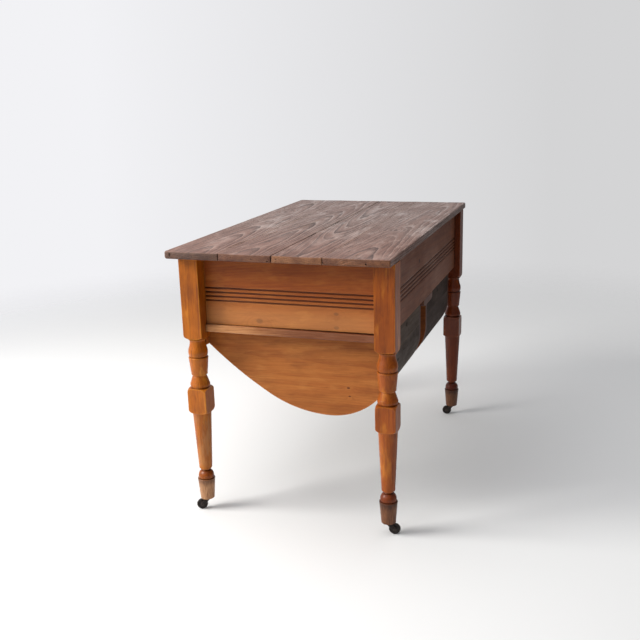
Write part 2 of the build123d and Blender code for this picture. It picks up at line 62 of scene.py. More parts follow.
class Shader:
    """One material's node tree, with short ways to add nodes."""

    def __init__(self, name):
        self.material = bpy.data.materials.new(name)
        self.material.use_nodes = True
        self.tree = self.material.node_tree
        self.tree.nodes.clear()
        self.output = self.tree.nodes.new("ShaderNodeOutputMaterial")
        self.surface = self.tree.nodes.new("ShaderNodeBsdfPrincipled")
        self.tree.links.new(self.surface.outputs["BSDF"], self.output.inputs["Surface"])

    def feed(self, socket, value):
        if isinstance(value, bpy.types.NodeSocket):
            self.tree.links.new(value, socket)
        else:
            socket.default_value = value

    def node(self, kind, inputs=None, **settings):
        made = self.tree.nodes.new("ShaderNode" + kind)
        for key, value in settings.items():
            setattr(made, key, value)
        for key, value in (inputs or {}).items():
            self.feed(made.inputs[key], value)
        return made

    def math(self, operation, *values, clamp=False):
        made = self.node("Math", dict(enumerate(values)), operation=operation, use_clamp=clamp)
        return made.outputs[0]

    def vector(self, operation, *values):
        made = self.node("VectorMath", dict(enumerate(values)), operation=operation)
        return made.outputs["Value" if operation == "LENGTH" else "Vector"]

    def spread(self, value, low, high, to_low=0.0, to_high=1.0):
        """Value from low..high to to_low..to_high, eased and clamped."""
        inputs = {"Value": value, 1: low, 2: high, 3: to_low, 4: to_high}
        made = self.node("MapRange", inputs, interpolation_type="SMOOTHSTEP", clamp=True)
        return made.outputs["Result"]

    def mix(self, share, a, b, blend="MIX"):
        made = self.node("Mix", {0: share, 6: a, 7: b}, data_type="RGBA", blend_type=blend)
        return made.outputs[2]

    def noise(self, vector, scale=1.0, detail=2.0, roughness=0.5, colour=False):
        inputs = {"Vector": vector, "Scale": scale, "Detail": detail, "Roughness": roughness}
        made = self.node("TexNoise", inputs)
        return made.outputs["Color" if colour else 0]

    def ramp(self, value, stops):
        made = self.node("ValToRGB", {"Fac": value})
        elements = made.color_ramp.elements
        while len(elements) < len(stops):
            elements.new(0.5)
        for element, (place, colour) in zip(elements, stops):
            element.position = place
            element.color = colour if isinstance(colour, tuple) else (colour, colour, colour, 1)
        return made.outputs["Color"]

    def bump(self, height, strength, distance):
        made = self.node("Bump", {"Height": height, "Strength": strength, "Distance": distance})
        self.feed(self.surface.inputs["Normal"], made.outputs["Normal"])

    def along_grain(self, grain, pith, tilt, seed):
        """Coordinates with the grain first, measured from the tree's heart."""
        where = self.node("TexCoord").outputs["Object"]
        parts = self.node("SeparateXYZ", {"Vector": where})
        g, a, b = (parts.outputs[axis] for axis in GRAIN_ORDER[grain])
        a = self.math("MULTIPLY_ADD", g, -tilt[0], a)
        b = self.math("MULTIPLY_ADD", g, -tilt[1], b)
        joined = self.node("CombineXYZ", {0: g, 1: a, 2: b}).outputs[0]
        measured = self.vector("SUBTRACT", joined, (0.0, pith[0], pith[1]))
        shifted = self.vector("ADD", joined, (seed * 1.37, seed * 0.71, seed * 0.43))
        flat = self.node("CombineXYZ", {0: g, 1: parts.outputs[GRAIN_ORDER[grain][1]],
                                        2: parts.outputs[GRAIN_ORDER[grain][2]]}).outputs[0]
        return measured, shifted, flat


def scaled(s, vector, along, across):
    return s.vector("MULTIPLY", vector, (along, across, across))


def wood(name, grain, pith, look, seed, tilt=(0.0, 0.0), knots=(), change=None):
    """A solid wood: rings round the tree's heart, fibres, knots, stains, worn edges, and painted shade in
    hollows and corners.
    """
    s = Shader(name)
    measured, shifted, flat = s.along_grain(grain, pith, tilt, seed)

    sway = s.noise(scaled(s, shifted, 1.6, 5.0), detail=2.0, colour=True)
    sway = s.vector("SUBTRACT", sway, (0.5, 0.5, 0.5))
    sway = s.vector("MULTIPLY", sway, (0.0, look["sway"], look["sway"]))
    bent = s.vector("ADD", measured, sway)
    fine = s.noise(scaled(s, shifted, 9.0, 60.0), detail=3.0, roughness=0.6)
    radius = s.vector("LENGTH", s.vector("MULTIPLY", bent, (0.0, 1.0, 1.0)))
    count = s.math("DIVIDE", radius, look["pitch"])
    count = s.math("MULTIPLY_ADD", fine, look["jitter"], count)

    cores = []
    for place, depth_axis, size in knots:
        gap = s.vector("SUBTRACT", flat, place)
        mask = [0.62, 1.0, 1.0]
        mask[depth_axis] = 0.0
        gap = s.vector("LENGTH", s.vector("MULTIPLY", gap, tuple(mask)))
        gap = s.math("MULTIPLY_ADD", fine, size * 0.5, gap)
        halo = s.spread(gap, size * 6.5, size * 0.9)
        count = s.math("MULTIPLY_ADD", halo, size * 2.6 / look["pitch"], count)
        cores.append(s.spread(gap, size * 1.45, size * 0.95))

    turn = s.math("FRACT", count)
    whole = s.math("FLOOR", count)
    each = s.node("TexWhiteNoise", {"W": whole}, noise_dimensions="1D").outputs["Value"]
    late = s.ramp(turn, [(0.0, 0.0), (0.42, 0.06), (0.80, 0.75), (0.90, 1.0), (0.985, 0.0)])
    late = s.math("MULTIPLY", late, s.math("MULTIPLY_ADD", each, 1 - look["least"], look["least"]))
    patches = s.noise(scaled(s, shifted, 2.2, 7.0), detail=4.0, roughness=0.6)
    late = s.math("MULTIPLY", late, s.spread(patches, 0.25, 0.65, look["even"], 1.0))

    fibre = s.noise(scaled(s, shifted, 14.0, 520.0), detail=3.0, roughness=0.65)
    streak = s.noise(scaled(s, shifted, 3.0, 75.0), detail=3.0, roughness=0.6)
    blotch = s.noise(scaled(s, shifted, 4.5, 9.0), detail=4.0, roughness=0.62)

    colour = s.mix(s.spread(streak, 0.28, 0.74), look["base"], look["streak"])
    colour = s.mix(s.math("MULTIPLY", late, look["ring"]), colour, look["late"])
    if look["crest"]:
        crest = s.ramp(turn, [(0.0, 1.0), (0.10, 0.5), (0.22, 0.0), (0.93, 0.0), (0.985, 1.0)])
        colour = s.mix(s.math("MULTIPLY", crest, look["crest"]), colour, look["pale"])
    colour = s.mix(s.math("MULTIPLY", s.spread(fibre, 0.52, 0.78), look["fibre"]), colour, look["pore"])
    colour = s.mix(s.math("MULTIPLY", s.spread(blotch, 0.45, 0.80), look["blotch"]), colour, look["stain"])
    colour = s.mix(s.math("MULTIPLY", s.spread(blotch, 0.46, 0.22), look["fade"]), colour, look["pale"])
    grit = s.noise(scaled(s, shifted, 12.0, 210.0), detail=4.0, roughness=0.7)
    colour = s.mix(s.math("MULTIPLY", s.spread(grit, 0.48, 0.72), look["grit"]), colour, look["pore"])
    mottle = s.noise(scaled(s, shifted, 11.0, 34.0), detail=3.0, roughness=0.6)
    colour = s.mix(s.math("MULTIPLY", s.spread(mottle, 0.45, 0.28), look["mottle"]), colour, look["pale"])
    colour = s.mix(s.math("MULTIPLY", s.spread(mottle, 0.52, 0.70), look["mottle"]), colour, look["stain"])
    for core in cores:
        colour = s.mix(s.math("MULTIPLY", core, 0.85), colour, look["knot"])

    # Painted shade: the colour darkens in hollows, corners and cracks, found by ambient occlusion.
    open_sky = s.node("AmbientOcclusion", {"Distance": look["hollow_shade_reach"]}, samples=4).outputs["AO"]
    hollow_shade = s.math("MULTIPLY", s.spread(open_sky, 0.75, 0.25), look["hollow_shade"])
    colour = s.mix(hollow_shade, colour, look["hollow_shade_colour"])
    reach = {"Distance": look["wear_reach"]}
    edge = s.node("AmbientOcclusion", reach, samples=4, inside=True).outputs["AO"]
    worn = s.spread(edge, 0.93, 0.62)
    worn = s.math("MULTIPLY", worn, s.spread(patches, 0.30, 0.60))
    worn = s.math("MULTIPLY", worn, look["wear"])
    colour = s.mix(worn, colour, look["bared"])
    if change:
        colour = change(s, colour, shifted, fibre)
    s.feed(s.surface.inputs["Base Color"], colour)

    rough = s.spread(blotch, 0.25, 0.75, look["rough"] - 0.07, look["rough"] + 0.10)
    rough = s.math("MULTIPLY_ADD", fibre, 0.12, rough)
    rough = s.math("MULTIPLY_ADD", worn, 0.15, rough, clamp=True)
    s.feed(s.surface.inputs["Roughness"], rough)
    s.surface.inputs["Specular IOR Level"].default_value = look["specular"]
    s.surface.inputs["Coat Weight"].default_value = look["coat"]
    s.surface.inputs["Coat Roughness"].default_value = look["coat_rough"]

    height = s.math("MULTIPLY", late, look["ring_relief"])
    height = s.math("MULTIPLY_ADD", fibre, look["fibre_relief"], height)
    height = s.math("MULTIPLY_ADD", streak, look["streak_relief"], height)
    height = s.math("MULTIPLY_ADD", blotch, look["wave_relief"], height)
    s.bump(height, look["bump"], 0.001)
    return s.material


PLAIN = {
    "pitch": 0.0035, "sway": 0.030, "jitter": 0.9, "crest": 0.0, "grit": 0.35, "mottle": 0.25,
    "least": 0.25, "even": 0.45,
    "ring": 0.55, "fibre": 0.45, "blotch": 0.5, "fade": 0.5,
    # Painted shade in hollows: its strength and reach; each look gives its colour.
    "hollow_shade": 0.75, "hollow_shade_reach": 0.018, "wear": 0.55, "wear_reach": 0.0035,
    "rough": 0.5, "specular": 0.4, "coat": 0.0, "coat_rough": 0.25,
    "ring_relief": 0.35, "fibre_relief": 0.45, "streak_relief": 0.25, "wave_relief": 0.5,
    "bump": 0.5,
}
TOP = dict(
    PLAIN,
    base=srgb(125, 92, 81), streak=srgb(140, 108, 98), late=srgb(36, 20, 16),
    pore=srgb(44, 28, 23), stain=srgb(91, 60, 51), pale=srgb(178, 154, 146),
    knot=srgb(59, 36, 29), hollow_shade_colour=srgb(31, 17, 13), bared=srgb(164, 129, 105),
    pitch=0.0052, sway=0.026, jitter=0.5, ring=0.9, least=0.35, even=0.6, crest=0.45,
    fibre=0.6, grit=0.75, mottle=0.4, rough=0.50, specular=0.42, coat=0.05, coat_rough=0.35,
    ring_relief=-1.2, fibre_relief=0.7, bump=0.85, wear=0.4,
)
APRON = dict(
    PLAIN,
    base=srgb(177, 102, 37), streak=srgb(163, 87, 27), late=srgb(135, 65, 18),
    pore=srgb(126, 62, 18), stain=srgb(143, 72, 22), pale=srgb(192, 121, 51),
    knot=srgb(86, 35, 8), hollow_shade_colour=srgb(50, 18, 4), bared=srgb(205, 141, 73),
    pitch=0.0048, ring=0.65, grit=0.5, mottle=0.5, rough=0.42, specular=0.25, coat=0.08,
    ring_relief=0.25, fibre_relief=0.3, bump=0.4,
)
STRIP = dict(
    APRON,
    base=srgb(208, 149, 97), streak=srgb(191, 129, 78), late=srgb(161, 100, 57),
    pale=srgb(231, 186, 143), bared=srgb(237, 199, 162), wear=0.8, rough=0.48, coat=0.1,
)
LEG_WOOD = dict(
    PLAIN,
    base=srgb(169, 88, 15), streak=srgb(153, 74, 11), late=srgb(129, 56, 7),
    pore=srgb(96, 40, 8), stain=srgb(112, 52, 12), pale=srgb(198, 122, 42),
    knot=srgb(77, 28, 3), hollow_shade_colour=srgb(37, 11, 1), bared=srgb(187, 115, 34),
    pitch=0.0026, sway=0.016, ring=0.7, fibre=0.7, blotch=0.8, fade=0.7, grit=0.55, mottle=0.55,
    rough=0.38, specular=0.2, coat=0.2, coat_rough=0.16,
    ring_relief=0.15, fibre_relief=0.25, streak_relief=0.15, wave_relief=0.4, bump=0.35,
    hollow_shade=1.0, hollow_shade_reach=0.014, wear=0.6,
)
BIN_SIDE = dict(
    PLAIN,
    base=srgb(182, 111, 50), streak=srgb(164, 92, 37), late=srgb(133, 70, 27),
    pore=srgb(119, 62, 24), stain=srgb(125, 68, 27), pale=srgb(195, 127, 63),
    knot=srgb(82, 38, 14), hollow_shade_colour=srgb(49, 21, 6), bared=srgb(201, 139, 78),
    pitch=0.0052, ring=0.62, grit=0.45, mottle=0.35, rough=0.48, specular=0.22, coat=0.05, bump=0.45,
)
SHADE_SIDE = dict(
    PLAIN,
    base=srgb(134, 79, 51), streak=srgb(118, 68, 43), late=srgb(93, 49, 29),
    pore=srgb(84, 44, 26), stain=srgb(91, 49, 30), pale=srgb(152, 98, 68),
    knot=srgb(57, 26, 13), hollow_shade_colour=srgb(35, 14, 6), bared=srgb(160, 105, 72),
    pitch=0.0050, rough=0.52,
)
BARE = dict(
    PLAIN,
    base=srgb(110, 95, 83), streak=srgb(95, 79, 68), late=srgb(71, 56, 45),
    pore=srgb(59, 46, 39), stain=srgb(64, 49, 40), pale=srgb(131, 116, 105),
    knot=srgb(42, 26, 17), hollow_shade_colour=srgb(27, 18, 12), bared=srgb(134, 108, 87),
    pitch=0.0042, sway=0.040, ring=0.6, blotch=0.75, rough=0.72, specular=0.2,
    ring_relief=0.7, fibre_relief=0.7, bump=0.7,
)
DARK_BLOCK = dict(
    PLAIN,
    base=srgb(104, 60, 42), streak=srgb(88, 48, 34), late=srgb(66, 34, 24),
    pore=srgb(58, 30, 22), stain=srgb(64, 34, 24), pale=srgb(126, 82, 60),
    knot=srgb(44, 22, 14), hollow_shade_colour=srgb(28, 14, 10), bared=srgb(140, 96, 70),
)
KNOB_WOOD = dict(LEG_WOOD, base=srgb(150, 80, 36), streak=srgb(128, 64, 28), pale=srgb(172, 98, 48))


def iron(name, dark, rust, share, rough, metal):
    """Old iron with rust and rubbed edges, and painted shade in its hollows."""
    s = Shader(name)
    where = s.node("TexCoord").outputs["Object"]
    patches = s.noise(where, scale=90.0, detail=5.0, roughness=0.65)
    pits = s.noise(where, scale=900.0, detail=3.0, roughness=0.6)
    colour = s.mix(s.spread(patches, 0.62 - share * 0.3, 0.72), dark, rust)
    edge = s.node("AmbientOcclusion", {"Distance": 0.0015}, samples=4, inside=True).outputs["AO"]
    rubbed = s.math("MULTIPLY", s.spread(edge, 0.9, 0.6), 0.35)
    colour = s.mix(rubbed, colour, srgb(104, 86, 74))
    # Painted shade: the iron darkens to near black in its hollows, found by ambient occlusion.
    open_sky = s.node("AmbientOcclusion", {"Distance": 0.006}, samples=4).outputs["AO"]
    colour = s.mix(s.spread(open_sky, 0.6, 0.1), colour, srgb(24, 16, 12))
    s.feed(s.surface.inputs["Base Color"], colour)
    s.surface.inputs["Metallic"].default_value = metal
    s.feed(s.surface.inputs["Roughness"], s.spread(patches, 0.3, 0.7, rough - 0.1, rough + 0.15))
    height = s.math("MULTIPLY_ADD", pits, 0.5, patches)
    s.bump(height, 0.5, 0.0006)
    return s.material


def give(piece, material):
    piece.data.materials.clear()
    piece.data.materials.append(material)


# ---------------------------------------------------------------- mesh building

CORNER_STEPS = 5


def place(grain, g, a, b):
    """A point from its coordinates along and across the grain."""
    return {"X": (g, a, b), "Y": (b, g, a), "Z": (a, b, g)}[grain]


def rough_line(*values):
    """Smooth pseudo-random value from -1 to 1 at a place."""
    return noise.noise(Vector(values))


def end_rounding(start, stop, radius, pitch):
    """Stations along a piece as (place, inset), close together in its rounded ends."""
    turns = [i / 4 * math.pi / 2 for i in range(5)]
    first = [(start + radius * (1 - math.cos(t)), radius * (1 - math.sin(t))) for t in turns]
    last = [(stop - radius * (1 - math.cos(t)), radius * (1 - math.sin(t))) for t in reversed(turns)]
    count = max(2, round((stop - start - 2 * radius) / pitch))
    run = (stop - start - 2 * radius) / count
    middle = [(start + radius + run * i, 0.0) for i in range(1, count)]
    return first + middle + last


def section(low, high, radii, runs):
    """Points round a slab's section, anticlockwise from its low corner.

    Each point has its side's number and whether it lies on a rounded corner.
    runs gives the places along each side.
    """
    a0, b0 = low
    a1, b1 = high
    corners = ((a0, b0, 1, 1), (a1, b0, -1, 1), (a1, b1, -1, -1), (a0, b1, 1, -1))
    points = []
    for k, (ca, cb, sa, sb) in enumerate(corners):
        r = radii[k]
        for i in range(CORNER_STEPS + 1):
            angle = math.pi + (k + i / CORNER_STEPS) * math.pi / 2
            points.append((ca + r * (sa + math.cos(angle)), cb + r * (sb + math.sin(angle)), k, True))
        na, nb, _, _ = corners[(k + 1) % 4]
        if k % 2 == 0:
            fixed = cb
            for a in runs[k]:
                points.append((min(max(a, min(ca, na) + r), max(ca, na) - r), fixed, k, False))
        else:
            fixed = ca
            for b in runs[k]:
                points.append((fixed, min(max(b, min(cb, nb) + r), max(cb, nb) - r), k, False))
    return points


def build(name, rings, body, nodes, smooth=35.0):
    """A closed mesh through rings of points, riding on a body in place of CAD nodes."""
    size = len(rings[0])
    vertices = [p for ring in rings for p in ring]
    faces = []
    for i in range(len(rings) - 1):
        for j in range(size):
            k = (j + 1) % size
            faces.append((i * size + j, (i + 1) * size + j, (i + 1) * size + k, i * size + k))
    faces.append(tuple(range(size)))
    faces.append(tuple(reversed(range((len(rings) - 1) * size, len(rings) * size))))
    mesh = bpy.data.meshes.new(name)
    mesh.from_pydata(vertices, [], faces)
    mesh.validate()
    piece = bpy.data.objects.new(name, mesh)
    bpy.context.scene.collection.objects.link(piece)
    finish_mesh(piece, smooth)
    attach(piece, body)
    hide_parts(*nodes)
    return piece


def finish_mesh(piece, smooth):
    mesh = piece.data
    bm = bmesh.new()
    bm.from_mesh(mesh)
    bmesh.ops.recalc_face_normals(bm, faces=bm.faces)
    bm.to_mesh(mesh)
    bm.free()
    mesh.polygons.foreach_set("use_smooth", [True] * len(mesh.polygons))
    mesh.set_sharp_from_angle(angle=math.radians(smooth))


def cut(piece, cutters, smooth=35.0):
    """Cuts closed shapes, as (vertices, faces), out of a piece."""
    vertices, faces = [], []
    for points, sides in cutters:
        start = len(vertices)
        vertices += points
        faces += [tuple(start + i for i in side) for side in sides]
    mesh = bpy.data.meshes.new("cutter")
    mesh.from_pydata(vertices, [], faces)
    tool = bpy.data.objects.new("cutter", mesh)
    bpy.context.scene.collection.objects.link(tool)
    finish_mesh(tool, smooth)
    change = piece.modifiers.new("cut", "BOOLEAN")
    change.operation = "DIFFERENCE"
    change.solver = "EXACT"
    change.object = tool
    bpy.context.view_layer.update()
    graph = bpy.context.evaluated_depsgraph_get()
    result = bpy.data.meshes.new_from_object(piece.evaluated_get(graph))
    piece.modifiers.clear()
    piece.data = result
    bpy.data.objects.remove(tool)
    finish_mesh(piece, smooth)


def pit(centre, direction, radius, depth, sides=9):
    """A ragged tapering hole cutter, from just over a surface down into it."""
    n = Vector(direction).normalized()
    u = n.orthogonal().normalized()
    v = n.cross(u)
    points = []
    for down, share in ((-0.002, 1.25), (0.0, 1.15), (depth * 0.3, 0.9), (depth, 0.45)):
        for i in range(sides):
            t = 2 * math.pi * i / sides
            r = radius * share * (1 + 0.18 * rough_line(centre[0] * 91, centre[1] * 87, i * 0.9))
            points.append(tuple(Vector(centre) + n * down + u * r * math.cos(t) + v * r * math.sin(t)))
    faces = []
    for ring in range(3):
        for i in range(sides):
            k = (i + 1) % sides
            low, high = ring * sides, (ring + 1) * sides
            faces.append((low + i, low + k, high + k, high + i))
    faces.append(tuple(range(sides)))
    faces.append(tuple(reversed(range(3 * sides, 4 * sides))))
    return points, faces


def split(start, stop, width, depth, level, wander=0.0012, parts=14):
    """A crack cutter along X on a level surface, widest near its middle, with a wandering line."""
    points = []
    for i in range(parts + 1):
        t = i / parts
        x = start[0] + (stop[0] - start[0]) * t
        y = start[1] + (stop[1] - start[1]) * t + wander * rough_line(x * 31, start[1] * 9, 2.0)
        half = width / 2 * (0.12 + math.sin(math.pi * min(max(t, 0.02), 0.98)) ** 0.7)
        half *= 1 + 0.35 * rough_line(x * 70, 1.0, start[1] * 5)
        points += [(x, y - half * 1.2, level + 0.002), (x, y + half * 1.2, level + 0.002)]
        points += [(x, y + half * 0.35, level - depth), (x, y - half * 0.35, level - depth)]
    faces = []
    for i in range(parts):
        for j in range(4):
            k = (j + 1) % 4
            faces.append((i * 4 + j, i * 4 + k, (i + 1) * 4 + k, (i + 1) * 4 + j))
    faces.append((0, 1, 2, 3))
    faces.append(tuple(reversed(range(parts * 4, parts * 4 + 4))))
    return points, faces


# ---------------------------------------------------------------- the top

TOP_LOOKS = (
    {"pith": (-0.215, 0.655), "tilt": (0.02, 0.028), "wear": (3.5, 5.5, 0.35, 0.5), "seed": 1.3},
    {"pith": (-0.070, 0.668), "tilt": (-0.03, 0.034), "wear": (0.5, 0.35, 2.2, 1.6), "seed": 4.1},
    {"pith": (0.052, 0.672), "tilt": (0.022, -0.030), "wear": (1.6, 2.2, 0.35, 0.5), "seed": 7.7},
    {"pith": (0.235, 0.640), "tilt": (-0.02, 0.024), "wear": (0.5, 0.35, 3.4, 2.4), "seed": 9.2},
)


END_ROUND = 0.0026
STATION = 0.008
ACROSS = 0.009
FRONT_CORNER = 0.016
SEAM_OPENING = 0.0006
MOST_HOLLOW = 0.0012
MILLIMETRE = 0.001


def top_board(number, look):
    """One board of the top, with rubbed edges and scrubbed hollows, and chips along the back one."""
    low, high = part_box(f"top_board_{number}")
    y0, y1 = low.y, high.y
    z0, z1 = low.z, high.z
    seed = look["seed"]
    count = max(8, round((y1 - y0) / ACROSS))
    places = [y0 + (y1 - y0) * (i + 0.5) / count for i in range(count)]
    level = (z0 + z1) / 2
    runs = (places, [level], list(reversed(places)), [level])
    front_low, front_high, back_high, back_low = look["wear"]
    # Only the middle seam stands open: which way its edge is drawn in on the boards beside it.
    seam = {2: -1, 3: 1}.get(number, 0)
    rings = []
    for x, inset in end_rounding(low.x, high.x, END_ROUND, STATION):
        def rub(k, base, chips):
            swing = 0.35 * rough_line(x * 7, seed, k) + 0.2 * rough_line(x * 31, seed, k + 5)
            chip = max(0.0, rough_line(x * 23, seed * 3, k) - 0.22) * chips
            return base * MILLIMETRE * (1 + swing) + chip * MILLIMETRE

        chips = 9.0 if number == 4 else 1.2
        radii = [
            rub(0, front_low, 0.5),
            rub(1, back_low, 0.5),
            rub(2, back_high, chips),
            rub(3, front_high, 2.2 if number == 1 else 1.2),
        ]
        radii = [max(0.0002, r - inset * 0.6) for r in radii]
        ya, yb = y0 + inset, y1 - inset
        if number == 1:
            over = max(0.0, abs(x) - (high.x - FRONT_CORNER))
            ya += FRONT_CORNER - math.sqrt(max(0.0, FRONT_CORNER * FRONT_CORNER - over * over))
        points = section((ya, z0 + inset), (yb, z1 - inset), radii, runs)
        ring = []
        for y, z, k, _ in points:
            share = (y - y0) / (y1 - y0)
            if z > level:
                hollow = 0.0005 * (1 - (2 * share - 1) ** 2)
                hollow += 0.00035 * (0.5 + 0.5 * rough_line(x * 5, y * 16, seed))
                hollow += 0.00015 * (0.5 + 0.5 * rough_line(x * 26, y * 60, seed + 3))
                z -= min(hollow, MOST_HOLLOW)
            if k in (1, 3):
                inward = 0.0004 * (0.5 + 0.5 * rough_line(x * 19, seed, 8.0 + k))
                y += inward if y < (y0 + y1) / 2 else -inward
            if seam and (y < y0 + 0.003 if seam > 0 else y > y1 - 0.003):
                y += seam * SEAM_OPENING
            ring.append((x, y, z))
        rings.append(ring)
    return build(f"plank_{number}", rings, "table", [f"top_board_{number}"])


BOARD_WIDTHS = (0.157, 0.143, 0.133, 0.169)
NAIL_SHARES = (0.24, 0.76)
NAIL_ROWS = (-0.4265, -0.030, 0.030, 0.4265)
NAIL_FRONT_LIMIT, NAIL_BACK_LIMIT = -0.2163, 0.2327
NAIL_PIT_RADIUS, NAIL_PIT_DEEP, NAIL_PIT_SIDES = 0.0030, 0.0026, 14
END_HOLE_DEEP = 0.006


def top_cutters():
    """Old nail holes in the end grain, nail sinks and drying cracks, by board."""
    end_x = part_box("top_board_2")[1].x
    sets = {1: [], 2: [], 3: [], 4: []}
    edges = [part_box(f"top_board_{n}") for n in sets]

    def board_at(y):
        return next(n for n, (low, high) in zip(sets, edges) if low.y <= y <= high.y + 0.001)

    level = edges[1][1].z
    for side in (1, -1):
        for y, z, radius in (
            (-0.0560, 0.7385, 0.0012), (-0.0135, 0.7350, 0.0017), (0.0100, 0.7410, 0.0013),
            (0.1320, 0.7370, 0.0016), (0.1830, 0.7390, 0.0012), (0.2385, 0.7375, 0.0019),
            (0.2790, 0.7405, 0.0010), (-0.1120, 0.7420, 0.0011), (-0.2200, 0.7390, 0.0013),
        ):
            at = y if side > 0 else -y * 0.93 + 0.004
            sets[board_at(at)].append(pit((side * end_x, at, z), (-side, 0, 0), radius, END_HOLE_DEEP))
    for x, y in ((0.446, -0.0373), (-0.311, 0.081), (0.205, 0.214)):
        sets[board_at(y)].append(pit((x, y, level - 0.0004), (0, 0, -1), 0.0021, 0.005))
    starts = [low.y for low, _ in edges]
    for n in sets:
        for share in NAIL_SHARES:
            y = starts[n - 1] + BOARD_WIDTHS[n - 1] * share
            y = min(max(y, NAIL_FRONT_LIMIT), NAIL_BACK_LIMIT)
            for x in NAIL_ROWS:
                at = (x, y, level - 0.0002)
                sets[n].append(pit(at, (0, 0, -1), NAIL_PIT_RADIUS, NAIL_PIT_DEEP, NAIL_PIT_SIDES))
    sets[1].append(split((0.446, -0.1555), (0.310, -0.1535), 0.0026, 0.006, level))
    sets[2].append(split((0.250, -0.1285), (0.165, -0.1240), 0.0022, 0.005, level))
    sets[2].append(split((0.120, -0.0800), (-0.060, -0.0740), 0.0016, 0.004, level))
    sets[1].append(split((-0.380, -0.2200), (-0.514, -0.2230), 0.0020, 0.006, level))
    sets[3].append(split((-0.300, 0.0900), (-0.514, 0.0960), 0.0018, 0.006, level))
    sets[4].append(split((0.514, 0.2050), (0.430, 0.2020), 0.0014, 0.005, level))
    return sets


END_BROWNS = {
    1: (srgb(74, 45, 31), srgb(96, 64, 47), srgb(38, 20, 13)),
    2: (srgb(88, 48, 30), srgb(118, 74, 50), srgb(46, 23, 13)),
    3: (srgb(106, 60, 33), srgb(140, 92, 58), srgb(56, 29, 14)),
    4: (srgb(98, 55, 30), srgb(134, 86, 54), srgb(50, 26, 13)),
}
# Painted sheen: the top is paler and greyer towards the left end.
TOP_PAINTED_SHEEN = [
    (0.05, (1.12, 1.34, 1.46, 1)),
    (0.5, (1.04, 1.20, 1.26, 1)),
    (0.95, (0.95, 0.86, 0.80, 1)),
]
TOP_KNOTS = {
    1: [((-0.21, -0.245, 0.75), 2, 0.006)],
    2: [],
    3: [],
    4: [((0.09, 0.205, 0.75), 2, 0.006)],
}


def top_finish(number):
    """Redder at the right end and greyer at the left, a painted sheen that grows towards the left end; the
    sawn ends are unscrubbed, dark and patchy.
    """
    low_brown, high_brown, pore_brown = END_BROWNS[number]

    def change(s, colour, shifted, fibre):
        coordinates = s.node("TexCoord").outputs
        along = s.node("SeparateXYZ", {"Vector": coordinates["Object"]}).outputs["X"]
        # Painted sheen along the top.
        share = s.spread(along, -0.6, 0.6)
        tint = s.ramp(share, TOP_PAINTED_SHEEN)
        colour = s.mix(1.0, colour, tint, "MULTIPLY")
        across = s.node("SeparateXYZ", {"Vector": coordinates["Normal"]}).outputs["X"]
        across = s.math("ABSOLUTE", across)
        blots = s.noise(scaled(s, shifted, 20.0, 34.0), detail=3.0)
        brown = s.mix(s.spread(blots, 0.36, 0.64), low_brown, high_brown)
        brown = s.mix(s.math("MULTIPLY", s.spread(fibre, 0.46, 0.72), 0.8), brown, pore_brown)
        return s.mix(s.spread(across, 0.45, 0.85), colour, brown)
    return change


cutters = top_cutters()
for number, look in enumerate(TOP_LOOKS, 1):
    plank = top_board(number, look)
    if cutters[number]:
        cut(plank, cutters[number])
    material = wood(f"top_wood_{number}", "X", look["pith"], TOP, look["seed"], look["tilt"],
                    TOP_KNOTS[number], top_finish(number))
    give(plank, material)


# ---------------------------------------------------------------- aprons and bearers

REED_LOW, REED_PITCH, REED_COUNT = 0.607, 0.0113, 4
REED_HEIGHTS = [REED_LOW + REED_PITCH * i for i in range(REED_COUNT)]
GROOVE_HALF, GROOVE_DEEP = 0.0023, 0.0030
REED_HALF, REED_FALL = 0.0056, 0.0009
FACE_INSET = 0.0003
TENON = 0.020
EDGE_RUB = 0.0012
GAP_RISE = 0.0018


def reed_depth(z):
    """How far the reeded face lies under the flat one at a height: grooves, and rounded reeds."""
    depth = 0.0
    for centre in REED_HEIGHTS:
        off = abs(z - centre)
        if off < GROOVE_HALF:
            curve = math.sqrt(max(0.0, 1 - (off / GROOVE_HALF) ** 2))
            depth = max(depth, GROOVE_DEEP * curve + REED_FALL)
        elif off < REED_HALF:
            depth = max(depth, REED_FALL * ((REED_HALF - off) / (REED_HALF - GROOVE_HALF)) ** 2)
    return depth


def reed_places(z0, z1):
    """Heights for the points of a reeded face, close together at the grooves."""
    places = [z0 + (z1 - z0) * (i + 0.5) / 16 for i in range(16)]
    places = [z for z in places if abs(z - 0.624) > 0.026]
    for centre in REED_HEIGHTS:
        places += [centre + 0.00042 * i for i in range(-11, 12)]
    return sorted(set(round(z, 6) for z in places))


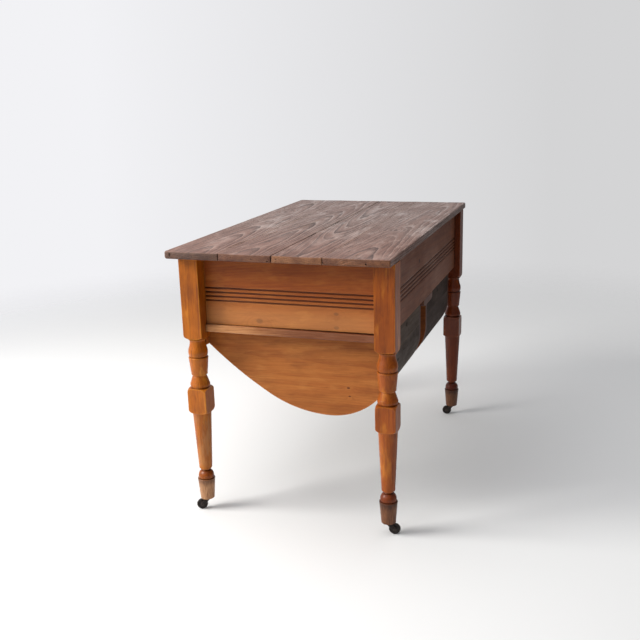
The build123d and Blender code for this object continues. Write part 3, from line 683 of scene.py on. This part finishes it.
def apron(node, grain, out):
    """A reeded board: its grooved face looks along out, across the grain."""
    low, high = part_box(node)
    if grain == "Y":
        start, stop = low.y + TENON, high.y - TENON
        near, far = low.x, high.x
    else:
        start, stop = low.x + TENON, high.x - TENON
        near, far = low.y, high.y
    z0, z1 = low.z, high.z
    reeds = reed_places(z0, z1)
    flat = [z0 + (z1 - z0) * (i + 0.5) / 4 for i in range(4)]
    mid = (near + far) / 2
    rings = []
    count = max(2, round((stop - start) / 0.012))
    for i in range(count + 1):
        g = start + (stop - start) * i / count
        face_wave = 0.0004 * rough_line(g * 4, 3.0, out)
        if grain == "Y":
            radii = [EDGE_RUB * (1.2 + 0.6 * rough_line(g * 30, k, 2.0)) for k in range(4)]
            near_run, far_run = (reeds, flat) if out < 0 else (flat, reeds)
            runs = (near_run, [mid], list(reversed(far_run)), [mid])
            points = section((z0, near), (z1, far), radii, runs)
            ring = []
            for a, b, k, corner in points:
                if not corner and ((out > 0 and k == 2) or (out < 0 and k == 0)):
                    b -= out * (reed_depth(a) + FACE_INSET + face_wave)
                if a < z0 + 0.010:
                    a += GAP_RISE * (g - start) / (stop - start)
                ring.append(place("Y", g, a, b))
        else:
            radii = [EDGE_RUB * (1.2 + 0.6 * rough_line(g * 30, k, 4.0)) for k in range(4)]
            runs = ([mid], reeds if out > 0 else flat, [mid], list(reversed(flat)))
            points = section((near, z0), (far, z1), radii, runs)
            ring = []
            for a, b, k, corner in points:
                if not corner and k == 1 and out > 0:
                    a -= reed_depth(b) + FACE_INSET + face_wave
                ring.append(place("X", g, a, b))
        rings.append(ring)
    return build(f"{node}_board", rings, "table", [node], smooth=50.0)


def bearer(node, out):
    """The strip under an end apron, its outer edge rubbed round and dented."""
    low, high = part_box(node)
    start, stop = low.y + TENON, high.y - TENON
    z0, z1 = low.z, high.z
    rings = []
    count = 60
    heights = [z0 + (z1 - z0) * t for t in (0.3, 0.5, 0.7)]
    depths = [low.x + (high.x - low.x) * t for t in (0.25, 0.5, 0.75)]
    for i in range(count + 1):
        g = start + (stop - start) * i / count
        soft = 0.0034 * (1 + 0.35 * rough_line(g * 11, 1.0, out) + 0.2 * rough_line(g * 43, 2.0, out))
        outer_low, outer_high = soft, soft * 0.75
        inner = 0.0008
        radii = [inner, inner, outer_high, outer_low]
        if out < 0:
            radii.reverse()
        runs = (heights, depths, list(reversed(heights)), list(reversed(depths)))
        points = section((z0, low.x), (z1, high.x), radii, runs)
        ring = []
        for a, b, _, _ in points:
            dent = 0.0005 * (0.5 + 0.5 * rough_line(g * 13, a * 90, b * 60 + 4))
            b -= out * dent if (b > (low.x + high.x) / 2) == (out > 0) else 0
            if a > (z0 + z1) / 2 and (b > (low.x + high.x) / 2) == (out > 0):
                a -= 0.0009 * max(0.0, (g - start) / (stop - start) - 0.25)
            ring.append(place("Y", g, a, b))
        rings.append(ring)
    return build(f"{node}_strip", rings, "table", [node], smooth=50.0)


# Painted shade under the top's overhang: the apron darkens and reddens upwards.
APRON_PAINTED_SHADE = [
    (0.0, (1.0, 1.0, 1.0, 1)),
    (0.35, (0.92, 0.82, 0.72, 1)),
    (1.0, (0.80, 0.65, 0.50, 1)),
]


def apron_shade_and_smudges(s, colour, shifted, fibre):
    """An apron with painted light and shade: darker and redder under the top as painted shade from its
    overhang, paler towards the strip as painted light, with painted shade in the grooves and dark smudges.
    """
    where = s.node("TexCoord").outputs["Object"]
    height = s.node("SeparateXYZ", {"Vector": where}).outputs["Z"]
    # Painted shade darker towards the top, and painted light paler towards the strip.
    share = s.spread(height, 0.55, 0.72)
    tint = s.ramp(share, APRON_PAINTED_SHADE)
    painted_light_low = s.mix(s.spread(share, 0.4, 0.0), colour, s.mix(0.35, colour, srgb(214, 152, 96)))
    colour = s.mix(1.0, painted_light_low, tint, "MULTIPLY")
    # Painted shade in the grooves.
    for centre in REED_HEIGHTS:
        gap = s.math("ABSOLUTE", s.math("SUBTRACT", height, centre))
        colour = s.mix(s.spread(gap, 0.0026, 0.0012, 0.0, 0.75), colour, srgb(58, 24, 8))
    smudge = s.noise(scaled(s, shifted, 9.0, 22.0), detail=4.0, roughness=0.65)
    return s.mix(s.spread(smudge, 0.56, 0.74, 0.0, 0.45), colour, srgb(112, 52, 16))


def strip_painted_shade(s, colour, shifted, fibre):
    """A bearer's strip is painted darker towards the back, as painted shade, and keeps its own paler colour
    towards the front.
    """
    where = s.node("TexCoord").outputs["Object"]
    along = s.node("SeparateXYZ", {"Vector": where}).outputs["Y"]
    along = s.math("MULTIPLY_ADD", fibre, 0.10, along)
    # Painted shade: darker towards the back.
    dark = s.mix(1.0, colour, (0.37, 0.26, 0.24, 1), "MULTIPLY")
    return s.mix(s.spread(along, -0.14, 0.10), colour, dark)


APRON_KNOTS = {
    "right": [
        ((-0.0753, 0.558, 0.0), 2, 0.0062),
        ((0.1357, 0.589, 0.0), 2, 0.0045),
        ((0.1357, 0.553, 0.0), 2, 0.0048),
    ],
    "left": [((0.064, 0.570, 0.0), 2, 0.005), ((-0.121, 0.680, 0.0), 2, 0.0035)],
}
for name, side in SIDES.items():
    board = apron(f"end_apron_{name}", "Y", side)
    material = wood(f"end_apron_{name}_wood", "Y", (0.60, side * 0.33), APRON, 2.0 + side,
                    (0.05, 0.03), APRON_KNOTS[name], apron_shade_and_smudges)
    give(board, material)
    strip = bearer(f"end_bearer_{name}", side)
    material = wood(f"end_bearer_{name}_wood", "Y", (0.50, side * 0.41), STRIP, 5.0 + side,
                    (0.02, 0.02), (), strip_painted_shade)
    give(strip, material)
back_board = apron("back_apron", "X", 1)
back_knots = [((0.12, 0.0, 0.67), 1, 0.005)]
give(back_board, wood("back_apron_wood", "X", (0.20, 0.62), SHADE_SIDE, 3.4, (0.02, 0.03), back_knots))


# ---------------------------------------------------------------- everything carried over from the frame

def soften(node, width, angle=38.0):
    """Rubs a node's sharp edges round."""
    piece = NODES[node]
    edge = piece.modifiers.new("rubbed edges", "BEVEL")
    edge.width = width
    edge.segments = 3
    edge.limit_method = "ANGLE"
    edge.angle_limit = math.radians(angle)
    edge.harden_normals = False
    edge.use_clamp_overlap = True


# Each leg's tone; the back-left leg's dark tint is painted shade.
LEG_TONES_AND_SHADE = {
    "front_right": (1.30, 1.50, 1.22, 1),
    "back_right": (0.98, 0.93, 0.72, 1),
    "front_left": (0.85, 0.78, 0.80, 1),
    "back_left": (0.46, 0.31, 0.20, 1),
}
BARE_FEET = {
    "front_right": (srgb(186, 138, 98), srgb(142, 96, 62)),
    "back_right": (srgb(124, 78, 48), srgb(84, 48, 28)),
    "front_left": (srgb(150, 104, 68), srgb(112, 70, 44)),
    "back_left": (srgb(118, 76, 50), srgb(80, 48, 30)),
}


CUP_TOP = 0.0960
SHAFT_LOW, SHAFT_HIGH = 0.125, 0.300


def leg_finish(name):
    """Each leg's own tone, with painted shade darkening the back-left leg, and a dark domed foot over a dry
    unfinished cup, stained at its rim.
    """
    def change(s, colour, shifted, fibre):
        where = s.node("TexCoord").outputs["Object"]
        height = s.node("SeparateXYZ", {"Vector": where}).outputs["Z"]
        rough_height = s.math("MULTIPLY_ADD", fibre, 0.002, height)
        # The leg's tone, with painted shade on the back-left leg.
        colour = s.mix(1.0, colour, LEG_TONES_AND_SHADE[name], "MULTIPLY")
        figure = s.noise(scaled(s, shifted, 5.0, 120.0), detail=4.0, roughness=0.7)
        colour = s.mix(s.spread(figure, 0.52, 0.72, 0.0, 0.55), colour, srgb(92, 38, 8))
        if name == "front_right":
            rubbed = s.noise(scaled(s, shifted, 8.0, 30.0), detail=4.0, roughness=0.65)
            rubbed = s.spread(rubbed, 0.42, 0.60, 0.0, 0.62)
            rubbed = s.math("MULTIPLY", rubbed, s.spread(height, SHAFT_LOW, SHAFT_LOW + 0.025))
            rubbed = s.math("MULTIPLY", rubbed, s.spread(height, SHAFT_HIGH, SHAFT_HIGH - 0.030))
            colour = s.mix(rubbed, colour, srgb(176, 122, 72))
        dome = s.math("MULTIPLY", s.spread(rough_height, 0.124, 0.119), 0.75)
        colour = s.mix(dome, colour, s.mix(1.0, colour, (0.45, 0.28, 0.30, 1), "MULTIPLY"))
        light, dark = BARE_FEET[name]
        bare = s.mix(s.spread(fibre, 0.35, 0.7), light, dark)
        stain = s.spread(s.math("MULTIPLY_ADD", figure, 0.016, height), 0.080, 0.100, 0.0, 0.75)
        bare = s.mix(stain, bare, s.mix(1.0, bare, (0.30, 0.22, 0.20, 1), "MULTIPLY"))
        return s.mix(s.spread(rough_height, CUP_TOP + 0.0015, CUP_TOP), colour, bare)
    return change


for i, name in enumerate(LEGS):
    low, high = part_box(f"leg_{name}")
    middle = (low + high) / 2
    side = 1 if middle.x > 0 else -1
    deep = 1 if middle.y > 0 else -1
    pith = (middle.x - side * 0.035, middle.y - deep * 0.05)
    material = wood(f"leg_{name}_wood", "Z", pith, LEG_WOOD, 11.0 + i * 2.3, (0.01, 0.012),
                    change=leg_finish(name))
    give(NODES[f"leg_{name}"], material)
    soften(f"leg_{name}", 0.0010, 60.0)

def bin_side_painted_shade(inner):
    """A bin side's cut edges, and the whole of the inner side, are painted dark as painted shade."""
    def change(s, colour, shifted, fibre):
        # Painted shade over the whole inner side.
        if inner:
            colour = s.mix(1.0, colour, (0.50, 0.42, 0.38, 1), "MULTIPLY")
        # Painted shade on the cut edges.
        normal = s.node("TexCoord").outputs["Normal"]
        face = s.math("ABSOLUTE", s.node("SeparateXYZ", {"Vector": normal}).outputs["X"])
        edge = s.mix(s.spread(fibre, 0.4, 0.7), srgb(84, 44, 26), srgb(58, 28, 16))
        return s.mix(s.spread(face, 0.75, 0.45), colour, edge)
    return change


def bin_back(name):
    """The bare boards of a bin's back and belly: stained dark in patches, bluish grey low down, with painted
    shade darkening the whole of the left bin's.
    """
    def change(s, colour, shifted, fibre):
        where = s.node("TexCoord").outputs["Object"]
        height = s.node("SeparateXYZ", {"Vector": where}).outputs["Z"]
        grey = s.mix(1.0, colour, (0.85, 0.95, 1.12, 1), "MULTIPLY")
        colour = s.mix(s.spread(height, 0.54, 0.44, 0.0, 0.8), colour, grey)
        stains = s.noise(scaled(s, shifted, 6.0, 14.0), detail=4.0, roughness=0.65)
        colour = s.mix(s.spread(stains, 0.50, 0.66, 0.0, 0.6), colour, srgb(46, 31, 24))
        # Painted shade: the left bin's back is darkened as a whole.
        if name == "left":
            colour = s.mix(1.0, colour, (0.58, 0.50, 0.48, 1), "MULTIPLY")
        return colour
    return change


for i, (name, side) in enumerate(SIDES.items()):
    knots = [((0.153, 0.380, 0.0), 2, 0.0028), ((0.156, 0.357, 0.0), 2, 0.0022)]
    for j, wall in enumerate(("side_outer", "side_inner")):
        node = f"bin_{name}_{wall}"
        low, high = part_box(node)
        pith = (0.46 + 0.05 * j, (low.x + high.x) / 2 - side * 0.09)
        material = wood(f"{node}_wood", "Y", pith, BIN_SIDE, 20.0 + i * 3 + j, (0.04, 0.03),
                        knots if j == 0 else (), bin_side_painted_shade(j == 1))
        give(NODES[node], material)
        soften(node, 0.0012)
    for j, piece in enumerate(("back", "belly", "cleat_outer", "cleat_inner")):
        node = f"bin_{name}_{piece}"
        low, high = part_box(node)
        grain = "Y" if "cleat" in piece else "X"
        pith = (0.31, 0.58) if grain == "X" else (0.5, low.x - 0.05)
        if piece == "belly":
            pith = (0.12, 0.20)
        knots = ()
        if grain == "X":
            knots = [((side * 0.21, 0.0, 0.51), 1, 0.006), ((side * 0.31, 0.0, 0.44), 1, 0.0045)]
        change = None if grain == "Y" else bin_back(name)
        material = wood(f"{node}_wood", grain, pith, BARE, 30.0 + i * 5 + j, (0.03, 0.02), knots, change)
        give(NODES[node], material)
    soften(f"bin_{name}_back", 0.0010)
    node = f"bin_{name}_front"
    low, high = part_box(node)
    give(NODES[node], wood(f"{node}_wood", "X", (low.y - 0.06, 0.55), APRON, 40.0 + i * 3, (0.03, 0.02)))
    soften(node, 0.0010)
    for j, piece in enumerate(("knob_outer", "knob_inner")):
        node = f"bin_{name}_{piece}"
        low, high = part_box(node)
        pith = ((low.z + high.z) / 2 + 0.02, (low.x + high.x) / 2 + 0.01)
        give(NODES[node], wood(f"{node}_wood", "Y", pith, KNOB_WOOD, 50.0 + i * 2 + j))

STRUCTURE = {
    "front_rail": ("X", APRON, 60.0),
    "front_stile": ("Z", APRON, 61.0),
    "middle_runner": ("Y", BARE, 62.0),
    "middle_web": ("Y", BARE, 63.0),
    "runner_end_block": ("X", DARK_BLOCK, 64.0),
    "corner_blocks": ("Z", BARE, 65.0),
    "end_cleat_right": ("Y", BARE, 66.0),
    "end_cleat_left": ("Y", BARE, 67.0),
    "middle_cleat_right": ("Y", BARE, 68.0),
    "middle_cleat_left": ("Y", BARE, 69.0),
}
for node, (grain, look, seed) in STRUCTURE.items():
    low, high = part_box(node)
    middle = (low + high) / 2
    a, b = (getattr(middle, axis.lower()) for axis in GRAIN_ORDER[grain][1:])
    give(NODES[node], wood(f"{node}_wood", grain, (a + 0.05, b - 0.06), look, seed, (0.02, 0.03)))
    soften(node, 0.0012)

for i, name in enumerate(LEGS):
    rust = iron(f"caster_{name}_iron", srgb(24, 16, 13), srgb(46, 27, 18), 0.4, 0.66, 0.15)
    worn = iron(f"caster_{name}_wheel_iron", srgb(26, 18, 15), srgb(42, 27, 20), 0.3, 0.60, 0.2)
    for piece in ("socket", "horn", "axle"):
        give(NODES[f"caster_{name}_{piece}"], rust)
    give(NODES[f"caster_{name}_wheel"], worn)
    soften(f"caster_{name}_horn", 0.0006)
nail_iron = iron("nail_iron", srgb(52, 40, 36), srgb(96, 62, 46), 0.5, 0.65, 0.4)
for node in ("top_nails", "bin_right_nails", "bin_left_nails"):
    give(NODES[node], nail_iron)


# ---------------------------------------------------------------- studio

SKY_OVERHEAD = 0.34
SKY_LOW = 0.04
SKY_LEFT = 0.34
GLOSS_SHARE = 0.7
GLOSS_RIGHT = 0.0
FLOOR_RADIUS = 9.0
FLOOR_FADES_FROM, FLOOR_GONE_AT = 1.3, 3.4
FLOOR_PAINT = (0.86, 0.86, 0.86, 1)
EYE_PLACE = (2.435, 0.7937, 1.145)
EYE_YAW, EYE_PITCH, EYE_ROLL = 19.34, 15.15, 1.63
EYE_LENS = 48.39
TO_THE_RIGHT = (-0.331, 0.944, 0.0)


def studio_floor():
    """A pale sweep: a wide disc that fades into the surroundings far from the table."""
    bpy.ops.mesh.primitive_circle_add(vertices=96, radius=FLOOR_RADIUS, fill_type="NGON", location=(0, 0, 0))
    floor = bpy.context.object
    floor.name = "studio_floor"
    s = Shader("studio_floor_paint")
    s.tree.nodes.remove(s.surface)
    where = s.node("TexCoord").outputs["Object"]
    far = s.spread(s.vector("LENGTH", where), FLOOR_FADES_FROM, FLOOR_GONE_AT)
    paint = s.node("BsdfDiffuse", {"Color": FLOOR_PAINT})
    clear = s.node("BsdfTransparent")
    both = s.node("MixShader", {0: far, 1: paint.outputs[0], 2: clear.outputs[0]})
    s.feed(s.output.inputs["Surface"], both.outputs[0])
    give(floor, s.material)


def studio_world():
    """Pale surroundings, brighter on the left, that light the table from overhead and the front."""
    world = bpy.data.worlds.new("studio")
    bpy.context.scene.world = world
    world.use_nodes = True
    tree = world.node_tree
    tree.nodes.clear()

    def node(kind, **inputs):
        made = tree.nodes.new("ShaderNode" + kind)
        for key, value in inputs.items():
            socket = made.inputs[int(key[1:])] if key[0] == "i" and key[1:].isdigit() else made.inputs[key]
            if isinstance(value, bpy.types.NodeSocket):
                tree.links.new(value, socket)
            else:
                socket.default_value = value
        return made

    way = node("TexCoord").outputs["Generated"]
    parts = node("SeparateXYZ", i0=way)
    over = node("MapRange", i0=parts.outputs["Z"], i1=-0.1, i2=0.9, i3=0.0, i4=SKY_OVERHEAD)
    left = node("MapRange", i0=parts.outputs["Y"], i1=0.5, i2=-0.9, i3=SKY_LOW, i4=SKY_LOW + SKY_LEFT)
    total = tree.nodes.new("ShaderNodeMath")
    tree.links.new(over.outputs[0], total.inputs[0])
    tree.links.new(left.outputs[0], total.inputs[1])
    cast = node("Background", Color=(0.97, 0.98, 1.0, 1), Strength=total.outputs[0])
    across = tree.nodes.new("ShaderNodeVectorMath")
    across.operation = "DOT_PRODUCT"
    tree.links.new(way, across.inputs[0])
    across.inputs[1].default_value = TO_THE_RIGHT
    side = node("MapRange", i0=across.outputs["Value"], i1=-0.24, i2=0.26, i3=0.0, i4=1.0)
    tint = tree.nodes.new("ShaderNodeMix")
    tint.data_type = "RGBA"
    tree.links.new(side.outputs[0], tint.inputs[0])
    tint.inputs[6].default_value = srgb(242, 242, 245)
    tint.inputs[7].default_value = srgb(212, 212, 213)
    seen = node("Background", Color=tint.outputs[2], Strength=1.0)
    path = tree.nodes.new("ShaderNodeLightPath")
    mix = tree.nodes.new("ShaderNodeMixShader")
    eye = tree.nodes.new("ShaderNodeMath")
    eye.operation = "MULTIPLY_ADD"
    tree.links.new(path.outputs["Is Glossy Ray"], eye.inputs[0])
    gloss = node("MapRange", i0=parts.outputs["Y"], i1=-0.1, i2=0.5, i3=GLOSS_SHARE, i4=GLOSS_RIGHT)
    tree.links.new(gloss.outputs[0], eye.inputs[1])
    tree.links.new(path.outputs["Is Camera Ray"], eye.inputs[2])
    tree.links.new(eye.outputs[0], mix.inputs[0])
    tree.links.new(cast.outputs[0], mix.inputs[1])
    tree.links.new(seen.outputs[0], mix.inputs[2])
    output = tree.nodes.new("ShaderNodeOutputWorld")
    tree.links.new(mix.outputs[0], output.inputs["Surface"])


def lamp(name, place_at, target, size, power, colour=(1, 1, 1)):
    light = bpy.data.lights.new(name, "AREA")
    light.shape = "DISK"
    light.size = size
    light.energy = power
    light.color = colour
    holder = bpy.data.objects.new(name, light)
    bpy.context.scene.collection.objects.link(holder)
    holder.location = place_at
    holder.rotation_euler = (Vector(target) - Vector(place_at)).to_track_quat("-Z", "Y").to_euler()


def camera():
    """The eye: right of the table's near end, a little over the top, turned slightly off level."""
    yaw, pitch, roll = (math.radians(v) for v in (EYE_YAW, EYE_PITCH, EYE_ROLL))
    right = Vector((-math.sin(yaw), math.cos(yaw), 0))
    ahead = Vector((-math.cos(yaw) * math.cos(pitch), -math.sin(yaw) * math.cos(pitch), -math.sin(pitch)))
    up = Vector((-math.cos(yaw) * math.sin(pitch), -math.sin(yaw) * math.sin(pitch), math.cos(pitch)))
    turned_right = right * math.cos(roll) - up * math.sin(roll)
    turned_up = right * math.sin(roll) + up * math.cos(roll)
    data = bpy.data.cameras.new("eye")
    data.sensor_width = 36
    data.lens = EYE_LENS
    data.clip_start, data.clip_end = 0.05, 60
    eye = bpy.data.objects.new("eye", data)
    bpy.context.scene.collection.objects.link(eye)
    turn = Matrix((turned_right, turned_up, -ahead)).transposed().to_4x4()
    eye.matrix_world = Matrix.Translation(EYE_PLACE) @ turn
    bpy.context.scene.camera = eye


studio_floor()
studio_world()
lamp("key", (1.5, -2.2, 1.95), (0.3, 0.0, 0.45), 1.4, 92, (1.0, 0.985, 0.95))
lamp("overhead", (0.4, -0.3, 3.2), (0.3, 0.0, 0.0), 2.6, 34)
lamp("front", (3.0, -1.4, 2.4), (0.4, -0.1, 0.3), 1.6, 12)
camera()
bpy.context.scene.view_settings.view_transform = "Standard"
